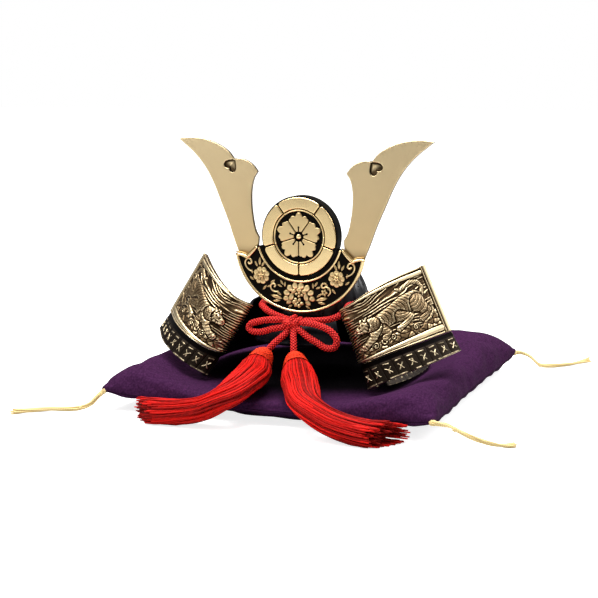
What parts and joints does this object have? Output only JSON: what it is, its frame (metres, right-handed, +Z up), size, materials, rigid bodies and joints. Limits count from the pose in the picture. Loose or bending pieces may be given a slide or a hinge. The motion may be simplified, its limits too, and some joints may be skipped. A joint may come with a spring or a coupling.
{
  "type": "ornamental kabuto helmet on a square cushion",
  "caption": "Desk-size samurai helmet ornament with crest, horns, turn-backs and a tied cord, resting on a square tasselled cushion.",
  "frame": {"origin": "middle of the cushion's flat underside, on the surface it rests on", "axes": "+X to the viewer's right, -Y towards the front (the side the crest faces), +Z up"},
  "size_m": [0.2839, 0.2705, 0.1535],
  "materials": {
    "satin_gold": "satin gold-coloured plating",
    "antique_bronze": "antiqued champagne gold, dark in the recesses",
    "dark_bronze": "dark patinated",
    "black_lacquer": "gloss black",
    "crest_gold": "polished gold relief on a black ground",
    "red_silk": "braided and twisted silk",
    "purple_crepe": "crepe cloth",
    "gold_thread": "twisted thread"
  },
  "bodies": {
    "root": {"cushion": "purple_crepe", "cushion_tassel_front_left": "gold_thread", "cushion_tassel_front_right": "gold_thread", "cushion_tassel_back_right": "gold_thread", "cushion_tassel_back_left": "gold_thread", "helmet_bowl": "black_lacquer", "visor": "black_lacquer", "neck_guard_lame_1": "dark_bronze", "neck_guard_lame_2": "dark_bronze", "neck_guard_lame_3": "dark_bronze", "neck_guard_lame_4": "dark_bronze", "turnback_right": "antique_bronze", "turnback_left": "antique_bronze", "lacing_strip_right": "dark_bronze", "lacing_strip_left": "dark_bronze", "crest_plate": "crest_gold", "crest_disc": "crest_gold", "crest_bracket": "dark_bronze", "horn_right": "satin_gold", "horn_left": "satin_gold", "cord_band": "red_silk", "bow_knot": "red_silk", "bow_loop_left": "red_silk", "bow_loop_right": "red_silk", "bow_end_left": "red_silk", "bow_end_right": "red_silk", "tassel_left": "red_silk", "tassel_right": "red_silk"}
  },
  "joints": []
}
